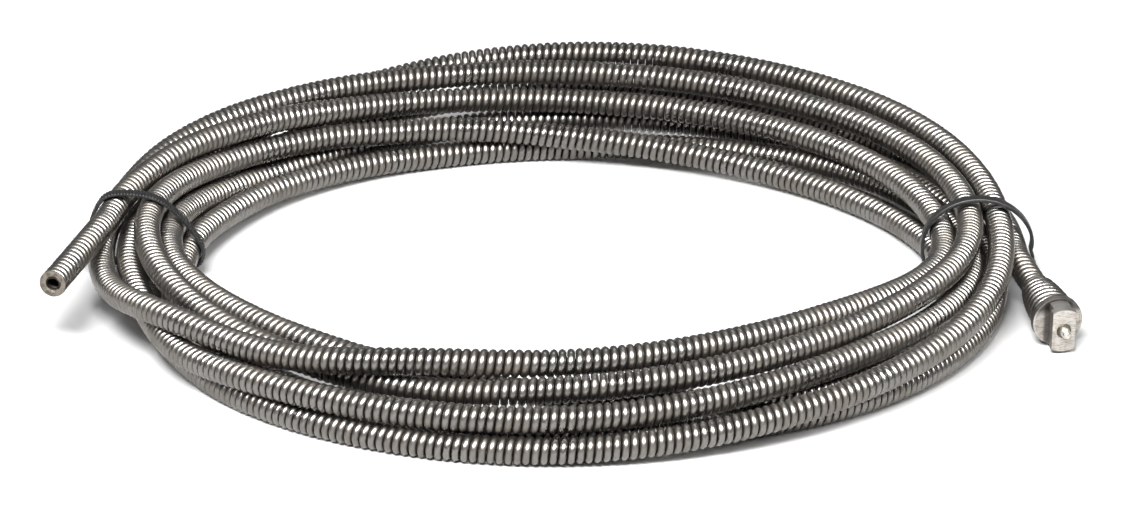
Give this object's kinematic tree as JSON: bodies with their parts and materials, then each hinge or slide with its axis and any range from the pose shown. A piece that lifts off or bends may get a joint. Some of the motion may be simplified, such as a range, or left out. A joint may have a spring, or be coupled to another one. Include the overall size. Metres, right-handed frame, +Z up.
{
  "type": "coiled drain cleaning cable",
  "caption": "Close-wound hollow steel drain cable in a flat coil held by cable ties, with one plain end and one T-slot coupling carrying a sprung lock plunger.",
  "frame": {"origin": "centre of the bounding box in plan, at floor level under the lying coil", "axes": "+Z up from the floor, +X from the plain end's side to the coupling's side, -Y towards the viewer, where both free ends point"},
  "size_m": [0.355, 0.3316, 0.0373],
  "materials": {
    "cable_coil": "oiled bare spring steel",
    "cable_tail": "oiled bare spring steel",
    "cable_lead": "oiled bare spring steel",
    "coupling_body": "machined steel with fine scratches",
    "lock_plunger": "polished steel",
    "plunger_retainer": "dull steel",
    "plunger_spring": "spring steel",
    "tie_left": "black nylon, ribbed outside",
    "tie_right": "black nylon"
  },
  "bodies": {
    "coil": {"cable_coil": "cable_coil", "tie_left": "tie_left", "tie_right": "tie_right"},
    "tail": {"cable_tail": "cable_tail"},
    "lead": {"cable_lead": "cable_lead", "coupling_body": "coupling_body", "plunger_retainer": "plunger_retainer", "plunger_spring": "plunger_spring"},
    "plunger": {"lock_plunger": "lock_plunger"}
  },
  "joints": [
    {"name": "tail_flex", "type": "hinge", "parent": "coil", "child": "tail", "pos_m": [-0.16095, -0.01317, 0.0264], "axis": [-0.5621, 0.1151, 0.819], "range_deg": [-15, 15], "stiffness_Nm_per_rad": 1.5},
    {"name": "lead_flex", "type": "hinge", "parent": "coil", "child": "lead", "pos_m": [0.16005, -0.01267, 0.0127], "axis": [0, 0, 1], "range_deg": [-12, 18], "stiffness_Nm_per_rad": 1.5},
    {"name": "plunger_slide", "type": "slide", "parent": "lead", "child": "plunger", "axis": [-0.1985, 0.9769, 0.0794], "range_m": [0, 0.003], "stiffness_N_per_m": 600, "springref_m": -0.002, "deforming": ["plunger_spring"]}
  ]
}
